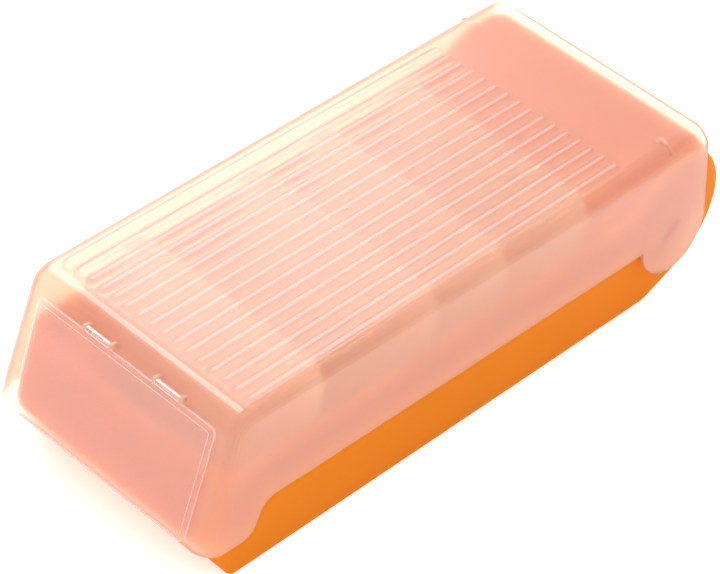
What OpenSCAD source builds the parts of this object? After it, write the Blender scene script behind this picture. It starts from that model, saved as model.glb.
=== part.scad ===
// Card index box: tray, rear-hinged lid with a label window, and tilting dividers.
// Millimetres, +Z up, front at -Y. The origin is on the table, in the middle of the footprint.

/* [Overall] */
// Length of the box, from the label window to the rear of the tray
case_length = 244.7; // [204:0.1:294]
// Height of the closed box, over the ribs of the lid
case_height = 69; // [67:0.1:83]
// Width of the tray at the front of the floor
tray_width = 89.4; // [86:0.1:108]

/* [Tray] */
// Wall thickness of the tray
tray_wall = 1.6; // [1.2:0.1:1.9]
// Height of the side walls at the front
rim_height = 46.2; // [40:0.1:50]
// Rise of the side walls from the front to the hinge
rim_rise = 2; // [0:0.5:3]
// Outward lean of the side walls, in degrees
tray_draft = 0.2; // [0.2:0.1:0.8]
// Radius of the long bottom edges
tray_edge_r = 2.4; // [2.1:0.1:5]
// Extra half width of the tray at the rear
tray_flare = 2; // [0:0.1:2.4]
// Radius of the upright front corners
tray_corner_r = 8; // [5:0.5:10]

/* [Hinge] */
// Height of the hinge axis above the table
hinge_height = 32.6; // [31:0.1:36]
// Radius of the round rear wall about the hinge axis
rear_r = 28.6; // [25:0.1:29]
// Radius of the studs on the lid
stud_r = 4; // [3:0.1:5]
// Radial clearance of a stud in its hole
stud_fit = 0.05; // [0.02:0.01:0.1]
// Radius of the round bosses on the sides of the tray
boss_r = 13; // [9:0.5:14]

/* [Lid] */
// Wall thickness of the lid
lid_wall = 1.3; // [1.2:0.1:1.7]
// Gap between the lid and the rim of the tray at the front
lid_gap = 0.4; // [0.35:0.05:1.2]
// Extra half width of the lid at the rear
lid_flare = 3.2; // [2:0.1:4]
// Outward lean of the side walls, in degrees
lid_draft = 4; // [2.5:0.1:4.5]
// Lean of the front wall, in degrees
front_lean = 13.5; // [10:0.5:16]
// Height of the long lower edge above the table
lid_edge_height = 31.7; // [30:0.1:35]
// Height of the lower edge of the front wall above the table
lobe_height = 20; // [17:0.1:21]
// Radius of the top edges at the front
lid_edge_r = 4.5; // [3:0.5:4.5]
// Radius of the edge between the top and the front wall of the lid
lid_front_r = 9; // [9:0.5:11]
// Radius of the top edges at the rear
lid_rear_edge_r = 7.5; // [5:0.5:8]
// Radius of the upright front corners
lid_corner_r = 8; // [7:0.5:12]
// Radius of the ears around the hinge
ear_r = 15.7; // [14.5:0.1:17]

/* [Ribs on the lid] */
// Number of ribs
rib_count = 16; // [8:1:16]
// Distance between the ribs
rib_pitch = 5.25; // [4:0.05:5.25]
// Height of the ribs
rib_height = 0.3; // [0.3:0.1:0.6]
// Width of the ribs
rib_width = 2.2; // [1.2:0.1:2.6]
// Distance from the top of the front wall to the ribs
rib_front = 8.1; // [7:0.1:20]
// Distance from the ribs to the rear edge
rib_rear = 36.6; // [25:0.1:60]

/* [Label window] */
// Width of the window
window_width = 76.4; // [60:0.1:77]
// Height of the window along the front wall
window_height = 42.4; // [36:0.1:43]
// Thickness of the window
window_t = 1; // [0.8:0.1:1.2]
// Width of the raised frame of the window
window_frame = 2; // [1.5:0.1:4]
// Length of a hinge knuckle
knuckle_length = 9.6; // [7:0.1:12]
// Distance between the middles of the two knuckles
knuckle_spacing = 30; // [24:0.5:40]

/* [Dividers] */
// Height of the dividers above their feet
divider_height = 60.5; // [40:0.1:61]
// Thickness of the dividers
divider_t = 1.2; // [0.8:0.1:1.6]
// Radius of the top corners of the dividers
divider_corner_r = 6; // [2:0.5:12]
// Rearward lean of the dividers, in degrees
divider_lean = 4; // [0:0.5:8]
// Gap between a divider and each side wall
divider_gap = 0.7; // [0.5:0.1:3]

/* [Hidden] */

$fn = 64;
hull_fn = 32;
arc_step = 6;
eps = 0.01;
join = 1;
clear = 0.3;
big = 400;

// Hinge axis
half_len = case_length / 2;
hinge_y = half_len - rear_r;
hinge_z = hinge_height;

// Height of the lid's flat top
lid_top = case_height - rib_height;

// Label window, placed on the front wall of the lid
window_drop = 6.5;
window_below = 1.6;
window_low = lid_top - window_drop - window_height * cos(front_lean);
window_stand = clear + window_t;
window_corner_r = 2;
window_step = 0.3;
pin_r = 0.5;
pin_fit = 0.05;
knuckle_r = 1.1;
knuckle_shift = 3;
knuckle_off = clear + knuckle_r;
lug_w = 1.2;
lug_low = 0.85;
lug_high = 1.05;
axis_height = lid_top - window_drop + window_below * cos(front_lean);

// Lid: front wall at the height of the flat top, rear edge, and half widths at the flat top
front_top_y = -half_len + (lid_top - window_low) * tan(front_lean) + window_stand * cos(front_lean);
lid_rear_set = 12;
lid_rear_y = hinge_y + lid_rear_set;
lid_beyond = lid_rear_y + 30;
lid_low = 5;
flare_slope = lid_flare / (lid_rear_y - front_top_y);
tray_flare_slope = tray_flare / (lid_rear_y - front_top_y);
lid_rim_half = tray_half(front_top_y, rim_height) + lid_gap + lid_wall;
lid_half_front = lid_rim_half - (lid_top - rim_height) * tan(lid_draft);

// Band inside the rear edge and the ears, and the small bars on the top corners
band_w = 2.2;
band_t = 0.4;
bar_r = 1.6;
bar_rise = 0.7;
bar_set = 5;
bar_y = hinge_y - bar_set;
bar_turn = 64;
bar_length = 5;

// S-shaped step between the front lobe and the long lower edge
lobe_r = 7;
lobe_slope = 65;
lobe_set = 2;
lobe_start = front_top_y + lobe_set;
lobe_rise = lid_edge_height - lobe_height;
lobe_run = (lobe_rise - 2 * lobe_r * (1 - cos(lobe_slope))) / sin(lobe_slope);
lobe_end = lobe_start + 2 * lobe_r * sin(lobe_slope) + lobe_run * cos(lobe_slope);

// Tray: gap behind the lid's front wall, place of the bottom front edge, and the rear wall
front_gap = 1.6;
front_toe = 19.5;
bow_height = 21.2;
rear_foot_r = 12;
rear_foot_set = -6;
rear_edge_r = 3;
rear_slope = 36;
rear_rim_rise = 1;
rear_rim_z = lid_top - lid_rear_edge_r + rear_rim_rise;
rear_rise = (rear_rim_z - hinge_z - rear_r * sin(rear_slope)) / cos(rear_slope);
tray_beyond = 10;
rear_top_r = 5;
rear_top_set = 3;
rim_curve_r = 26;
rim_curve_y = hinge_y - 30;
rim_curve_end = 45;
rim_curve_set = 2;

// Hinge bosses
boss_gap = 0.35;
ear_inside = lid_half(hinge_y, hinge_z) - lid_wall;
boss_face = ear_inside - boss_r * (tan(lid_draft) + flare_slope) - boss_gap;
stud_length = 3.3;

// Dividers and the slots for their feet
foot_r = 1.5;
foot_gap = 0.35;
slot_gap = foot_r + foot_gap;
slot_rib_t = 1.4;
slot_rib_h = 3.4;
foot_z = tray_wall + slot_gap;
inside_half = tray_width / 2 - tray_wall;
foot_half = inside_half - tray_edge_r + tray_wall - clear;
first_foot = -half_len + 47;
foot_range = hinge_y - first_foot;
divider_share = [0, 0.302, 0.491, 0.722];
divider_y = [for (share = divider_share) first_foot + share * foot_range];

// Points of an arc about c, from angle a0 to angle a1
function arc(c, r, a0, a1) =
    let (steps = ceil(abs(a1 - a0) / arc_step))
    [for (k = [0 : steps]) c + r * [cos(a0 + (a1 - a0) * k / steps), sin(a0 + (a1 - a0) * k / steps)]];

// Outer face of the lid's front wall at height z
function front_y(z) = front_top_y - (lid_top - z) * tan(front_lean);

// Half widths of the lid and of the tray
function lid_half(y, z) = lid_half_front + (lid_top - z) * tan(lid_draft) + flare_slope * (y - front_top_y);
function tray_half(y, z) = tray_width / 2 + z * tan(tray_draft) + tray_flare_slope * (y - front_top_y);

// Extrudes a side profile, drawn as [y, z], across the whole width
module across() {
    rotate([90, 0, 90]) translate([0, 0, -big / 2]) linear_extrude(big) children();
}

// Moves to the front wall of the lid: x stays, y runs up the wall and z points out of it
module on_front(z) {
    translate([0, front_y(z), z]) rotate([90 - front_lean, 0, 0]) children();
}

module both_sides() {
    children();
    mirror([1, 0, 0]) children();
}

// Round bar along X
module bar_x(r, length) {
    rotate([0, 90, 0]) cylinder(r = r, h = length, center = true);
}

// ---- Tray ----

// Solid form of the tray, smaller by the inset all round
module tray_form(inset) {
    run = rear_rise + tray_beyond;
    top_y = hinge_y + (rear_r - rear_top_r) * cos(rear_slope) - run * sin(rear_slope);
    top_z = hinge_z + (rear_r - rear_top_r) * sin(rear_slope) + run * cos(rear_slope);
    front_set = (lid_wall + front_gap + tray_corner_r) / cos(front_lean);
    toe_y = front_y(0) + front_toe + tray_edge_r;
    foot_y = hinge_y + rear_foot_set;
    both_sides_hull() {
        translate([tray_half(toe_y, 0) - tray_edge_r, toe_y, tray_edge_r])
            sphere(tray_edge_r - inset, $fn = hull_fn);
        for (z = [bow_height, top_z])
            translate([tray_half(front_y(z), z) - tray_corner_r, front_y(z) + front_set, z])
                sphere(tray_corner_r - inset, $fn = hull_fn);
        tray_disc(hinge_y, hinge_z, rear_r, rear_edge_r, inset);
        tray_disc(foot_y, rear_foot_r, rear_foot_r, tray_edge_r, inset);
        translate([tray_half(top_y, top_z) - rear_top_set - rear_top_r, top_y, top_z])
            sphere(rear_top_r - inset, $fn = hull_fn);
    }
}

// Rounded rim of a disc of radius r in the side view, with its edge rounded by edge_r
module tray_disc(y, z, r, edge_r, inset) {
    translate([tray_half(y, z) - edge_r, y, z]) rotate([0, 90, 0])
        rotate_extrude($fn = 96) translate([r - edge_r, 0]) circle(edge_r - inset, $fn = 16);
}

module both_sides_hull() {
    hull() {
        children();
        mirror([1, 0, 0]) children();
    }
}

// Everything above the rim of the tray
module above_rim() {
    rim_end = rim_height + rim_rise;
    curve = arc([rim_curve_y, rim_end + rim_curve_r], rim_curve_r, -90, -90 + rim_curve_end);
    across() polygon(concat(
        [[-big, rim_height], [-half_len, rim_height]], curve,
        [[hinge_y - rim_curve_set, rear_rim_z], [big, rear_rim_z], [big, big], [-big, big]]));
}

// Two low ribs that hold the foot of a divider
module slot(y) {
    for (s = [-1, 1])
        translate([-foot_half, y + s * (slot_gap + slot_rib_t / 2) - slot_rib_t / 2, tray_wall - eps])
            cube([2 * foot_half, slot_rib_t, slot_rib_h + eps]);
}

module hinge_boss() {
    root = tray_half(hinge_y - boss_r, 0) - tray_wall / 2;
    translate([root, hinge_y, hinge_z]) rotate([0, 90, 0]) cylinder(r = boss_r, h = boss_face - root);
}

module tray() color("darkorange") difference() {
    union() {
        difference() {
            tray_form(0);
            tray_form(tray_wall);
            above_rim();
        }
        for (y = divider_y) slot(y);
        both_sides() hinge_boss();
    }
    translate([0, hinge_y, hinge_z]) bar_x(stud_r + stud_fit, 2 * boss_face + join);
}

// ---- Lid ----

// Solid form of the lid, before its lower edge is cut, smaller by the inset all round
module lid_form(inset) {
    front_z = lid_top - lid_front_r;
    top_edge_y = front_y(front_z) + lid_front_r / cos(front_lean);
    rear_z = lid_top - lid_rear_edge_r;
    both_sides_hull() {
        translate([lid_half(front_top_y, front_z) - lid_edge_r, top_edge_y, front_z])
            rotate([0, 90, 0]) rotate_extrude($fn = 2 * hull_fn) translate([lid_front_r - lid_edge_r, 0])
                circle(lid_edge_r - inset, $fn = 24);
        translate([lid_half(front_top_y, lid_low) - lid_corner_r, front_y(lid_low) + lid_corner_r, lid_low])
            cylinder(r = lid_corner_r - inset, h = 1, $fn = 2 * hull_fn);
        translate([lid_half(lid_beyond, rear_z) - lid_rear_edge_r, lid_beyond, rear_z])
            sphere(lid_rear_edge_r - inset, $fn = hull_fn);
        translate([lid_half(lid_beyond, lid_low) - lid_edge_r, lid_beyond, lid_low])
            cylinder(r = lid_edge_r - inset, h = 1, $fn = hull_fn);
    }
}

// Side view of the lid, as [y, z]; the inset applies to the ears and the rear edge
module lid_outline(inset) {
    r = ear_r - inset;
    start = 180 + asin((hinge_z - lid_edge_height) / r);
    lean = atan((hinge_y + ear_r - lid_rear_y) / (lid_top - hinge_z));
    polygon(concat(
        [[-big, lobe_height]],
        arc([lobe_start, lobe_height + lobe_r], lobe_r, -90, lobe_slope - 90),
        arc([lobe_end, lid_edge_height - lobe_r], lobe_r, lobe_slope + 90, 90),
        arc([hinge_y, hinge_z], r, start, 360 + lean),
        [[lid_rear_y - inset, lid_top], [lid_rear_y - inset, big], [-big, big]]));
}

// Thicker band along the rear edge and round the ears
module lid_band() {
    difference() {
        intersection() {
            lid_form(lid_wall / 2);
            across() intersection() {
                lid_outline(0);
                translate([hinge_y - ear_r / 2, 0]) square(big);
            }
        }
        lid_form(lid_wall + band_t);
        across() lid_outline(band_w);
    }
}

module rib(x, y0, y1) {
    r = (rib_width * rib_width / 4 + rib_height * rib_height) / (2 * rib_height);
    translate([x, y0 + r, case_height - r]) {
        rotate([-90, 0, 0]) cylinder(r = r, h = y1 - y0 - 2 * r, $fn = hull_fn);
        sphere(r, $fn = hull_fn);
        translate([0, y1 - y0 - 2 * r, 0]) sphere(r, $fn = hull_fn);
    }
}

// Small round bar across the rounded top edge, near the hinge
module corner_bar() {
    edge_x = lid_half(bar_y, lid_top) - lid_rear_edge_r;
    translate([edge_x, bar_y, lid_top - lid_rear_edge_r]) rotate([0, 90 - bar_turn, 0])
        translate([0, 0, lid_rear_edge_r + bar_rise - bar_r]) {
            bar_x(bar_r, bar_length);
            for (s = [-1, 1]) translate([s * bar_length / 2, 0, 0]) sphere(bar_r);
        }
}

// Lugs and pins that carry one knuckle of the label window
module window_lugs(x) {
    end = knuckle_length / 2 + clear;
    for (s = [-1, 1]) {
        translate([x + s * (end + lug_w / 2), 0, 0]) {
            translate([-lug_w / 2, -lug_low, -lid_wall / 2])
                cube([lug_w, lug_low + lug_high, lid_wall / 2 + knuckle_off + pin_r + clear]);
            translate([-s * (clear + lug_w) / 2, 0, knuckle_off]) bar_x(pin_r, 2 * lug_w + 2 * clear);
        }
    }
}

module lid() color("mistyrose") {
    difference() {
        intersection() {
            lid_form(0);
            across() lid_outline(0);
        }
        lid_form(lid_wall);
    }
    lid_band();
    for (i = [0 : rib_count - 1])
        rib((i - (rib_count - 1) / 2) * rib_pitch, front_top_y + rib_front, lid_rear_y - rib_rear);
    both_sides() {
        corner_bar();
        translate([boss_face - stud_length / 2 + join, hinge_y, hinge_z])
            bar_x(stud_r, stud_length + 2 * join);
    }
    on_front(axis_height) for (s = [-1, 1]) window_lugs(knuckle_shift + s * knuckle_spacing / 2);
}

// ---- Label window ----

module rounded_plate(w, h, r, t) {
    linear_extrude(t) union() {
        for (x = [-1, 1], y = [-1, 1]) translate([x * (w / 2 - r), y * (h / 2 - r)]) circle(r);
        square([w - 2 * r, h], center = true);
        square([w, h - 2 * r], center = true);
    }
}

module label_window() color("lavender") on_front(axis_height) difference() {
    union() {
        translate([0, -window_below - window_height / 2, clear]) difference() {
            rounded_plate(window_width, window_height, window_corner_r, window_t);
            translate([0, 0, window_t - window_step])
                rounded_plate(window_width - 2 * window_frame, window_height - 2 * window_frame,
                              window_corner_r - 1, window_t);
        }
        for (s = [-1, 1]) translate([knuckle_shift + s * knuckle_spacing / 2, 0, 0]) {
            translate([0, 0, knuckle_off]) bar_x(knuckle_r, knuckle_length);
            translate([-knuckle_length / 2, -window_below - window_frame / 2, clear])
                cube([knuckle_length, window_below + window_frame / 2, window_t]);
        }
    }
    for (s = [-1, 1]) translate([knuckle_shift + s * knuckle_spacing / 2, 0, knuckle_off])
        bar_x(pin_r + pin_fit, knuckle_length + join);
}

// ---- Dividers ----

module divider(y) {
    half = inside_half - divider_gap;
    r = divider_corner_r;
    color("whitesmoke") translate([0, y, foot_z]) rotate([-divider_lean, 0, 0]) {
        bar_x(foot_r, 2 * foot_half);
        rotate([90, 0, 0]) translate([0, 0, -divider_t / 2]) linear_extrude(divider_t) union() {
            translate([-half, 0]) square([2 * half, divider_height - r]);
            translate([-half + r, 0]) square([2 * (half - r), divider_height]);
            for (s = [-1, 1]) translate([s * (half - r), divider_height - r]) circle(r);
        }
    }
}

tray();
lid();
label_window();
divider(divider_y[0]);  // divider_1
divider(divider_y[1]);  // divider_2
divider(divider_y[2]);  // divider_3
divider(divider_y[3]);  // divider_4
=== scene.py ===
import math

import bpy
from mathutils import Matrix, Vector


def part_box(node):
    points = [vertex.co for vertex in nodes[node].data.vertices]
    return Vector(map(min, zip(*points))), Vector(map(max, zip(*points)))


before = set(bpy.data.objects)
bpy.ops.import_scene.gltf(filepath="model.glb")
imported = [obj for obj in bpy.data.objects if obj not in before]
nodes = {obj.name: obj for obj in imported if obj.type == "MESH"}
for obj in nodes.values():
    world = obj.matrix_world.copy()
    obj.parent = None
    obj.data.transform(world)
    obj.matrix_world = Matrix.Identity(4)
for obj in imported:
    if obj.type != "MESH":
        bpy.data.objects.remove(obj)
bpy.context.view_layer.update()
print("card box loaded:", len(nodes), "pieces")

mm = 0.001
ribHeight = 0.3 * mm
barHeight = 1.12 * mm  # the small bars at the rear corners stand this far above the flat top of the lid
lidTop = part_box("lid")[1].z - barHeight

view = {
    "aim": (-0.0006, -0.0054, 0.030),  # point in the middle of the view
    "distance": 1.0055,
    "azimuth": 38.5,  # degrees round from the front
    "elevation": 41.55,
    "roll": 7.67,
    "lens": 155,  # mm on a 36 mm wide frame
}

studio = {
    "sky": 1.2,  # strength of the white surround
    "floorColor": "FFFFFF",
    "floorGlow": 0.35,
    "floorSize": 12,
    "lights": {
        # name: place, width, height in metres, power in watts
        "backLight": ((-0.42, 0.22, 0.46), 0.45, 0.28, 3.0),
        "topLight": ((-0.40, -0.06, 0.78), 0.22, 0.22, 3.4),
        "fillLight": ((0.9, -0.9, 0.9), 1.2, 1.2, 2.4),
    },
}

trayLook = {
    "color": "DA861E",
    "deepColor": "D48018",  # the dye is a little uneven
    "dyePatch": 55 * mm,  # size of the uneven places
    "roughness": 0.42,
    "ior": 1.49,
    "specular": 0.03,
    "grain": 0.6 * mm,  # fine texture of the mould
    "grainStrength": 0.12,
    "grainDepth": 0.03 * mm,
    "subsurface": 0.06,
    "scatterRadius": 1.2 * mm,
    "glowColor": "FA9E38",  # light that comes through the wall
    "glow": 0.35,  # share of it at each face
}

lidLook = {
    "color": "FEF7EE",  # tint of one face
    "milkColor": "FDD0B9",  # scattered light that comes back
    "glowColor": "FDBE98",  # scattered light that goes on through
    "thickAndPaintedLightColor": "FFFAF2",  # whiter colour along edges and ribs: partly thicker plastic scattering more, partly a painted highlight
    "blur": 0.55,  # roughness of the faces as light goes through
    "bend": 1.14,  # refraction of the two faces of the thin wall together
    "sheen": 0.29,  # roughness of the surface reflection
    "ior": 1.49,
    "veil": 0.29,  # share of light that the milky plastic scatters at each face
    "thickAndPaintedLightVeil": 0.62,  # the same along the edges and ribs, where the plastic is thicker and a painted highlight is added
    "ribPaintedLightShare": 0.42,  # part of that thicker scatter and painted highlight on the ribs
    "back": 0.55,  # share of the scattered light that comes back
    "grain": 0.4 * mm,
    "grainStrength": 0.015,
    "grainDepth": 0.02 * mm,
    "spread": 2.5 * mm,  # distance over which scattered light evens out the relief
}

windowLook = {
    "color": "FFFAFA",
    "milkColor": "FFF6F6",
    "glowColor": "FFF6F6",
    "back": 0.5,
    "edgePaintedHighlight": 0.26,  # painted highlight on the edge faces of the plate
    "sheen": 0.05,
    "wornSheen": 0.15,
    "wear": 20 * mm,  # size of the places where the polish is worn
    "ior": 1.58,
    "lean": 13.5,  # degrees, as the front wall of the lid
}

dividerLook = {
    "color": "FFFAF6",
    "milkColor": "FFF6F2",
    "glowColor": "FFE6DA",
    "blur": 0.80,
    "bend": 1.12,
    "sheen": 0.4,
    "ior": 1.49,
    "veil": 0.70,
    "back": 0.75,
    "grain": 0.5 * mm,
    "grainStrength": 0.015,
    "grainDepth": 0.02 * mm,
    "spread": 1.0 * mm,
}

# band along the lid's edges that is painted lighter, a painted highlight; the samples also serve the
# evened relief
edgeLook = {
    "samples": 6,
    "width": 0.7 * mm,
    "flat": 0.98,  # cosine between true and rounded normal where the painted edge highlight starts to show
    "sharp": 0.8,  # the same where it shows fully
}


def linear(hexColor):
    parts = [int(hexColor[k:k + 2], 16) / 255 for k in (0, 2, 4)]
    return [p / 12.92 if p <= 0.04045 else ((p + 0.055) / 1.055) ** 2.4 for p in parts] + [1]


def addNode(material, kind, settings=None, links=None):
    # settings: input name or number -> value, links: input -> (node, output)
    node = material.node_tree.nodes.new(kind)
    for key, value in (settings or {}).items():
        if isinstance(key, int) or key in node.inputs:
            node.inputs[key].default_value = value
        else:
            setattr(node, key, value)
    for key, (source, output) in (links or {}).items():
        material.node_tree.links.new(source.outputs[output], node.inputs[key])
    return node


def newMaterial(name):
    material = bpy.data.materials.new(name)
    material.use_nodes = True
    material.node_tree.nodes.clear()
    return material


def finishMaterial(material, shader):
    addNode(material, "ShaderNodeOutputMaterial", None, {"Surface": (shader, 0)})
    return material


def grainBump(m, look):
    # texture of the mould: noise with grains of a real width
    place = addNode(m, "ShaderNodeTexCoord")
    noise = addNode(
        m, "ShaderNodeTexNoise",
        {"Scale": 1 / look["grain"], "Detail": 3.0, "Roughness": 0.6},
        {"Vector": (place, "Object")},
    )
    return addNode(
        m, "ShaderNodeBump",
        {"Strength": look["grainStrength"], "Distance": look["grainDepth"]},
        {"Height": (noise, "Fac")},
    )


def orangePlastic():
    # moulded polypropylene with a satin face: soft broad sheen, and a warm glow where light comes through
    m = newMaterial("orangePolypropylene")
    place = addNode(m, "ShaderNodeTexCoord")
    cloud = addNode(
        m, "ShaderNodeTexNoise",
        {"Scale": 1 / trayLook["dyePatch"], "Detail": 2.0},
        {"Vector": (place, "Object")},
    )
    dye = addNode(
        m, "ShaderNodeMixRGB",
        {"Color1": linear(trayLook["color"]), "Color2": linear(trayLook["deepColor"])},
        {"Fac": (cloud, "Fac")},
    )
    bump = grainBump(m, trayLook)
    face = addNode(
        m, "ShaderNodeBsdfPrincipled",
        {
            "Roughness": trayLook["roughness"],
            "IOR": trayLook["ior"],
            "Specular IOR Level": trayLook["specular"],
            "Subsurface Weight": trayLook["subsurface"],
            "Subsurface Radius": (1.0, 0.45, 0.2),  # red light goes deepest
            "Subsurface Scale": trayLook["scatterRadius"],
        },
        {"Base Color": (dye, "Color"), "Normal": (bump, "Normal")},
    )
    through = addNode(m, "ShaderNodeBsdfTranslucent", {"Color": linear(trayLook["glowColor"])})
    both = addNode(m, "ShaderNodeMixShader", {0: trayLook["glow"]}, {1: (face, 0), 2: (through, 0)})
    return finishMaterial(m, both)


def heightAbove(m, low, high, top=1.0):
    # 0 to top between two heights above the flat top of the lid
    place = addNode(m, "ShaderNodeTexCoord")
    spot = addNode(m, "ShaderNodeSeparateXYZ", None, {0: (place, "Object")})
    return addNode(
        m, "ShaderNodeMapRange",
        {"From Min": lidTop + low, "From Max": lidTop + high, "To Max": top},
        {"Value": (spot, "Z")},
    )


def paintedEdgeLightMask(m):
    # 1 beside an edge: a rounded normal there differs from the true one; it marks the edges that get a
    #                   painted highlight
    soft = addNode(m, "ShaderNodeBevel", {"samples": edgeLook["samples"], "Radius": edgeLook["width"]})
    plain = addNode(m, "ShaderNodeNewGeometry")
    dot = addNode(
        m, "ShaderNodeVectorMath", {"operation": "DOT_PRODUCT"},
        {0: (soft, 0), 1: (plain, "Normal")},
    )
    return addNode(
        m, "ShaderNodeMapRange",
        {"From Min": edgeLook["flat"], "From Max": edgeLook["sharp"]},
        {"Value": (dot, "Value")},
    )


def overRibs(m, normal):
    # the low ribs count as flat: their relief is too soft to shade
    up = addNode(
        m, "ShaderNodeVectorTransform",
        {"vector_type": "NORMAL", "convert_from": "OBJECT", "convert_to": "WORLD", 0: (0, 0, 1)},
    )
    onRib = heightAbove(m, ribHeight / 30, ribHeight / 15)
    mixed = addNode(
        m, "ShaderNodeMixRGB", None,
        {"Fac": (onRib, 0), "Color1": (normal, 0), "Color2": (up, 0)},
    )
    return addNode(m, "ShaderNodeVectorMath", {"operation": "NORMALIZE"}, {0: (mixed, 0)})


def outerGloss(m, look, normal, body, polish=None):
    # surface reflection on the faces turned outwards only, because light doesn't bend in this thin plastic
    gloss = addNode(m, "ShaderNodeBsdfGlossy", {"Roughness": look["sheen"]}, {"Normal": normal})
    if polish:
        m.node_tree.links.new(polish.outputs[0], gloss.inputs["Roughness"])
    mirror = addNode(m, "ShaderNodeFresnel", {"IOR": look["ior"]}, {"Normal": normal})
    side = addNode(m, "ShaderNodeNewGeometry")
    outside = addNode(m, "ShaderNodeMath", {"operation": "SUBTRACT", 0: 1.0}, {1: (side, "Backfacing")})
    share = addNode(m, "ShaderNodeMath", {"operation": "MULTIPLY"}, {0: (mirror, 0), 1: (outside, 0)})
    return addNode(m, "ShaderNodeMixShader", None, {0: (share, 0), 1: (body, 0), 2: (gloss, 0)})


def milkyBody(m, look, normal, tint=None):
    # scattered light: part goes on through the plastic, part comes back
    through = addNode(
        m, "ShaderNodeBsdfTranslucent", {"Color": linear(look["glowColor"])}, {"Normal": normal},
    )
    returned = addNode(
        m, "ShaderNodeBsdfDiffuse", {"Color": linear(look["milkColor"])}, {"Normal": normal},
    )
    # tint carries the whiter colour of edges and ribs, partly thicker plastic and partly a painted
    # highlight
    if tint:
        m.node_tree.links.new(tint.outputs[0], returned.inputs["Color"])
    return addNode(m, "ShaderNodeMixShader", {0: look["back"]}, {1: (through, 0), 2: (returned, 0)})


def frostedPlastic(name, look):
    # moulded polypropylene with a matt face: things close behind it show softly, the rest goes milky
    m = newMaterial(name)
    bump = grainBump(m, look)
    clear = addNode(
        m, "ShaderNodeBsdfRefraction",
        {"Color": linear(look["color"]), "Roughness": look["blur"], "IOR": look["bend"]},
        {"Normal": (bump, "Normal")},
    )
    # scattered light evens out small relief
    soft = addNode(m, "ShaderNodeBevel", {"samples": edgeLook["samples"], "Radius": look["spread"]})
    if "ribPaintedLightShare" not in look:
        milky = milkyBody(m, look, (soft, 0))
        body = addNode(m, "ShaderNodeMixShader", {0: look["veil"]}, {1: (clear, 0), 2: (milky, 0)})
        return finishMaterial(m, outerGloss(m, look, (bump, 0), body))
    # edges and ribs are thicker, so they scatter more and whiter light; on top of that they are painted
    # lighter, a painted highlight
    crestThickAndPaintedLight = heightAbove(m, 0.45 * ribHeight, 0.8 * ribHeight, look["ribPaintedLightShare"])
    thickAndPaintedLight = addNode(
        m, "ShaderNodeMath", {"operation": "MAXIMUM"},
        {0: (crestThickAndPaintedLight, 0), 1: (paintedEdgeLightMask(m), 0)},
    )
    veil = addNode(
        m, "ShaderNodeMapRange",
        {"To Min": look["veil"], "To Max": look["thickAndPaintedLightVeil"]},
        {"Value": (thickAndPaintedLight, 0)},
    )
    tint = addNode(
        m, "ShaderNodeMixRGB",
        {"Color1": linear(look["milkColor"]), "Color2": linear(look["thickAndPaintedLightColor"])},
        {"Fac": (thickAndPaintedLight, 0)},
    )
    milky = milkyBody(m, look, (overRibs(m, soft), 0), tint)
    body = addNode(m, "ShaderNodeMixShader", None, {0: (veil, 0), 1: (clear, 0), 2: (milky, 0)})
    return finishMaterial(m, outerGloss(m, look, (overRibs(m, bump), 0), body))


def clearPlastic():
    # moulded polystyrene with a polished face: clear, with sharp gloss and edges painted lighter, a
    # painted highlight
    m = newMaterial("clearPolystyrene")
    clear = addNode(m, "ShaderNodeBsdfTransparent", {"Color": linear(windowLook["color"])})
    # an edge is a face that doesn't look the way the plate does; such faces get a painted highlight
    lean = math.radians(windowLook["lean"])
    place = addNode(m, "ShaderNodeTexCoord")
    dot = addNode(
        m, "ShaderNodeVectorMath",
        {"operation": "DOT_PRODUCT", 1: (0, -math.cos(lean), math.sin(lean))},
        {0: (place, "Normal")},
    )
    flat = addNode(m, "ShaderNodeMath", {"operation": "ABSOLUTE"}, {0: (dot, "Value")})
    edge = addNode(
        m, "ShaderNodeMapRange",
        {"From Min": 0.9, "From Max": 0.3, "To Max": windowLook["edgePaintedHighlight"]},
        {"Value": (flat, 0)},
    )
    plain = addNode(m, "ShaderNodeNewGeometry"), "Normal"
    milky = milkyBody(m, windowLook, plain)
    body = addNode(m, "ShaderNodeMixShader", None, {0: (edge, 0), 1: (clear, 0), 2: (milky, 0)})
    cloud = addNode(
        m, "ShaderNodeTexNoise",
        {"Scale": 1 / windowLook["wear"], "Detail": 2.0},
        {"Vector": (place, "Object")},
    )
    polish = addNode(
        m, "ShaderNodeMapRange",
        {"To Min": windowLook["sheen"], "To Max": windowLook["wornSheen"]},
        {"Value": (cloud, "Fac")},
    )
    return finishMaterial(m, outerGloss(m, windowLook, plain, body, polish))


def whitePaper():
    # matt paper that glows a little, so that shadows on it stay pale
    m = newMaterial("whitePaper")
    color = linear(studio["floorColor"])
    matt = addNode(m, "ShaderNodeBsdfDiffuse", {"Color": color})
    glow = addNode(m, "ShaderNodeEmission", {"Color": color, "Strength": studio["floorGlow"]})
    both = addNode(m, "ShaderNodeAddShader", None, {0: (matt, 0), 1: (glow, 0)})
    return finishMaterial(m, both)


def paint(node, material):
    nodes[node].data.materials.clear()
    nodes[node].data.materials.append(material)


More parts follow.
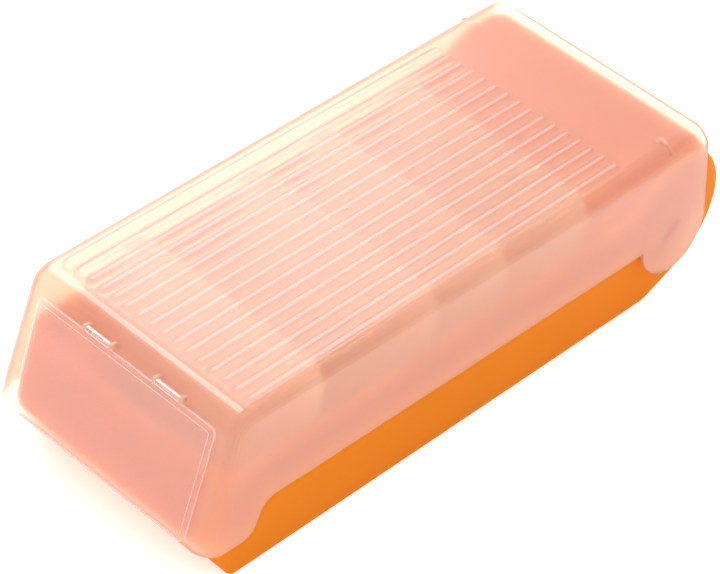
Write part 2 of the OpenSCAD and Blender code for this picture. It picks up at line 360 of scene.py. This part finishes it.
def makeCamera():
    azimuth, elevation, roll = (math.radians(view[k]) for k in ("azimuth", "elevation", "roll"))
    back = Vector((
        math.sin(azimuth) * math.cos(elevation),
        -math.cos(azimuth) * math.cos(elevation),
        math.sin(elevation),
    ))
    right = Vector((math.cos(azimuth), math.sin(azimuth), 0))
    up = back.cross(right)
    rolledRight = right * math.cos(roll) + up * math.sin(roll)
    rolledUp = up * math.cos(roll) - right * math.sin(roll)
    turn = Matrix((rolledRight, rolledUp, back)).transposed().to_4x4()
    camera = bpy.data.objects.new("camera", bpy.data.cameras.new("camera"))
    bpy.context.scene.collection.objects.link(camera)
    camera.matrix_world = Matrix.Translation(Vector(view["aim"]) + back * view["distance"]) @ turn
    camera.data.lens = view["lens"]
    camera.data.sensor_width = 36
    bpy.context.scene.camera = camera
    bpy.context.scene.view_settings.view_transform = "Standard"


def makeLight(name, place, width, height, power):
    light = bpy.data.lights.new(name, "AREA")
    light.shape = "RECTANGLE"
    light.size = width
    light.size_y = height
    light.energy = power
    lamp = bpy.data.objects.new(name, light)
    bpy.context.scene.collection.objects.link(lamp)
    lamp.location = place
    # every light faces the box
    lamp.rotation_euler = (-Vector(place)).to_track_quat("-Z", "Y").to_euler()


def makeStudio():
    world = bpy.data.worlds.new("surround")
    world.use_nodes = True
    bpy.context.scene.world = world
    sky = world.node_tree.nodes["Background"]
    sky.inputs["Color"].default_value = (1, 1, 1, 1)
    sky.inputs["Strength"].default_value = studio["sky"]
    for name, (place, width, height, power) in studio["lights"].items():
        makeLight(name, place, width, height, power)
    bpy.ops.mesh.primitive_plane_add(size=studio["floorSize"])
    floor = bpy.context.object
    floor.name = "floor"
    floor.data.materials.append(whitePaper())


makeCamera()
makeStudio()
print("camera and studio ready")

paint("tray", orangePlastic())
paint("lid", frostedPlastic("frostedPolypropylene", lidLook))
paint("label_window", clearPlastic())
dividerPlastic = frostedPlastic("dividerPolypropylene", dividerLook)
for name in nodes:
    if name.startswith("divider"):
        paint(name, dividerPlastic)
print("materials ready")
